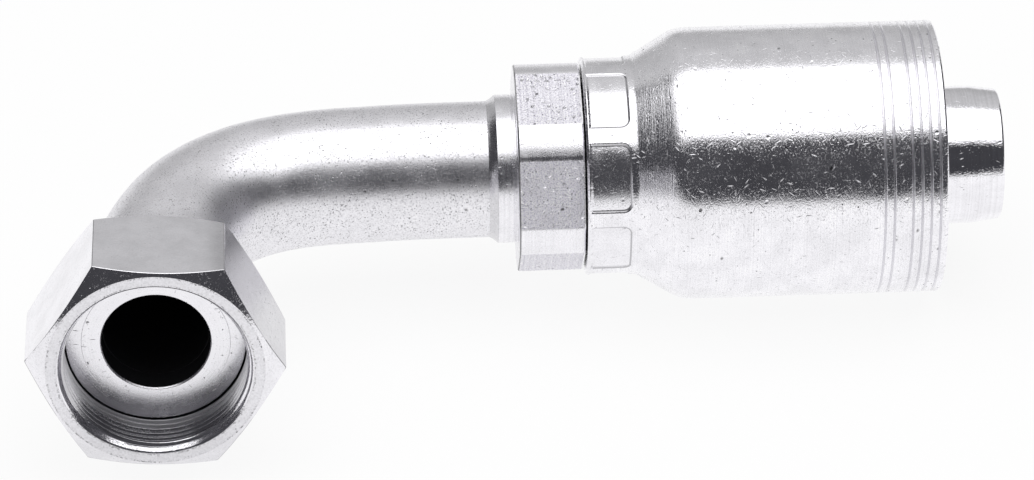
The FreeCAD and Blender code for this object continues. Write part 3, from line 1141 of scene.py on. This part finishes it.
braze_steel = steel("braze_zinc", 0.74, 0.24, grain=1.2, marks=0.0, dents=0.6, speckle=0.15)
stem_fillet = turned("stem_fillet", fillet_outline(stem_face, collar_radius, 1), on_hose_axis)
dressed(stem_fillet, "stem_braze", "coupling", "braze", braze_steel)
nose_fillet = turned("nose_fillet", fillet_outline(nose_length, nose_fillet_radius, -1),
                     on_nut_axis)
dressed(nose_fillet, "nose_braze", "coupling", "braze", braze_steel)


# Stage and light, in metres
floor_height = cad_box[0].z
floor_half = 12.0
floor_white = 0.93
floor_glow_seen = 0.88
floor_glow_mirrored = 0.98
softbox_centre = 0.1
softbox_height = 1.3
softbox_front = -0.97
softbox_back = 0.66
softbox_half_width = 1.3
softbox_radiance = 1.1
backdrop_low = 0.43
backdrop_high = 0.65
card_distance = 0.9
card_lift = 0.002
front_card_top = 1.21
left_card_top = 1.08
left_card_back = 0.85
right_card_top = 0.94
right_card_back = 0.90
card_level = 0.052
card_tint = (1.0, 1.0, 1.12, 1.0)
apron_start = 0.44


def flat_panel(name, corners, material):
    mesh = bpy.data.meshes.new(name)
    mesh.from_pydata(corners, [], [(0, 1, 2, 3)])
    mesh.materials.append(material)
    panel = add_object(name, mesh)
    return panel


def floor_paper():
    """White paper that keeps the shadow and shows white to the camera and in the metal."""
    material, nodes = new_material("floor_paper")
    path = nodes.add("ShaderNodeLightPath").outputs
    mirrored = nodes.calc("MAXIMUM", path["Is Glossy Ray"], path["Is Transmission Ray"])
    seen = nodes.times(path["Is Camera Ray"], floor_glow_seen)
    share = nodes.calc("MAXIMUM", seen, nodes.times(mirrored, floor_glow_mirrored))
    paper = nodes.add("ShaderNodeBsdfDiffuse", Color=grey(floor_white))
    white = nodes.add("ShaderNodeEmission", Color=grey(1.0), Strength=1.0)
    nodes.show(nodes.add("ShaderNodeMixShader", share, paper.outputs[0], white.outputs[0]))
    return material


def make_floor():
    low, high, z = -floor_half, floor_half, floor_height
    corners = [(low, low, z), (high, low, z), (high, high, z), (low, high, z)]
    flat_panel("floor", corners, floor_paper())


def make_dark_cards():
    """Dark room in front and at both sides, which only reflections show."""
    dark, nodes = new_material("dark_card")
    nodes.show(nodes.add("ShaderNodeEmission", Color=card_tint, Strength=card_level))
    left, right = softbox_centre - card_distance, softbox_centre + card_distance
    front, low = -card_distance, floor_height + card_lift

    def upright(start, end, top):
        return [(*start, low), (*end, low), (*end, top), (*start, top)]

    cards = {
        "front": upright((left, front), (right, front), front_card_top),
        "left": upright((left, left_card_back), (left, front), left_card_top),
        "right": upright((right, front), (right, right_card_back), right_card_top),
        "apron": [(left, front, low), (right, front, low), (right, -apron_start, low),
                  (left, -apron_start, low)],
    }
    for side, corners in cards.items():
        card = flat_panel(side + "_card", corners, dark)
        card.visible_camera = card.visible_diffuse = card.visible_shadow = False


def make_softbox():
    light = bpy.data.lights.new("softbox", "AREA")
    light.shape = "RECTANGLE"
    light.size = 2 * softbox_half_width
    light.size_y = softbox_back - softbox_front
    light.energy = softbox_radiance * math.pi * light.size * light.size_y
    lamp = add_object("softbox", light)
    lamp.location = (softbox_centre, (softbox_front + softbox_back) / 2, softbox_height)
    lamp.visible_camera = False


def make_world():
    """Grey backdrop all round, paler towards its top."""
    world = bpy.data.worlds.new("studio")
    world.use_nodes = True
    nodes = Nodes(world.node_tree)
    height = nodes.split(nodes.add("ShaderNodeTexCoord").outputs["Generated"])[2]
    level = nodes.add("ShaderNodeMapRange", height, 0.0, 1.0, backdrop_low, backdrop_high)
    background = world.node_tree.nodes["Background"]
    world.node_tree.links.new(level.outputs[0], background.inputs["Strength"])
    background.inputs["Color"].default_value = grey(1.0)
    bpy.context.scene.world = world


def make_camera():
    """Camera of the photograph, placed from the tube's bend corner."""
    azimuth, elevation, roll = camera_azimuth, camera_elevation, camera_roll
    back = Vector((
        math.sin(azimuth) * math.cos(elevation),
        -math.cos(azimuth) * math.cos(elevation),
        math.sin(elevation),
    ))
    right = (-back).cross(Vector((0, 0, 1))).normalized()
    up = right.cross(-back)
    rolled_right = math.cos(roll) * right + math.sin(roll) * up
    rolled_up = -math.sin(roll) * right + math.cos(roll) * up
    bend_corner = Vector((0, leg_drop * mm, 0))
    place = bend_corner + camera_distance * back
    place += camera_shift_right * rolled_right + camera_shift_up * rolled_up
    data = bpy.data.cameras.new("photo_camera")
    data.sensor_width = sensor_width_mm
    data.lens = focal_length_px * sensor_width_mm / photo_width_px
    data.clip_start, data.clip_end = camera_clip_start, camera_clip_end
    camera = add_object("photo_camera", data)
    turn = Matrix((rolled_right, rolled_up, back)).transposed().to_4x4()
    camera.matrix_world = Matrix.Translation(place) @ turn
    bpy.context.scene.camera = camera


make_floor()
make_dark_cards()
make_softbox()
make_world()
make_camera()
bpy.context.scene.view_settings.view_transform = "Standard"
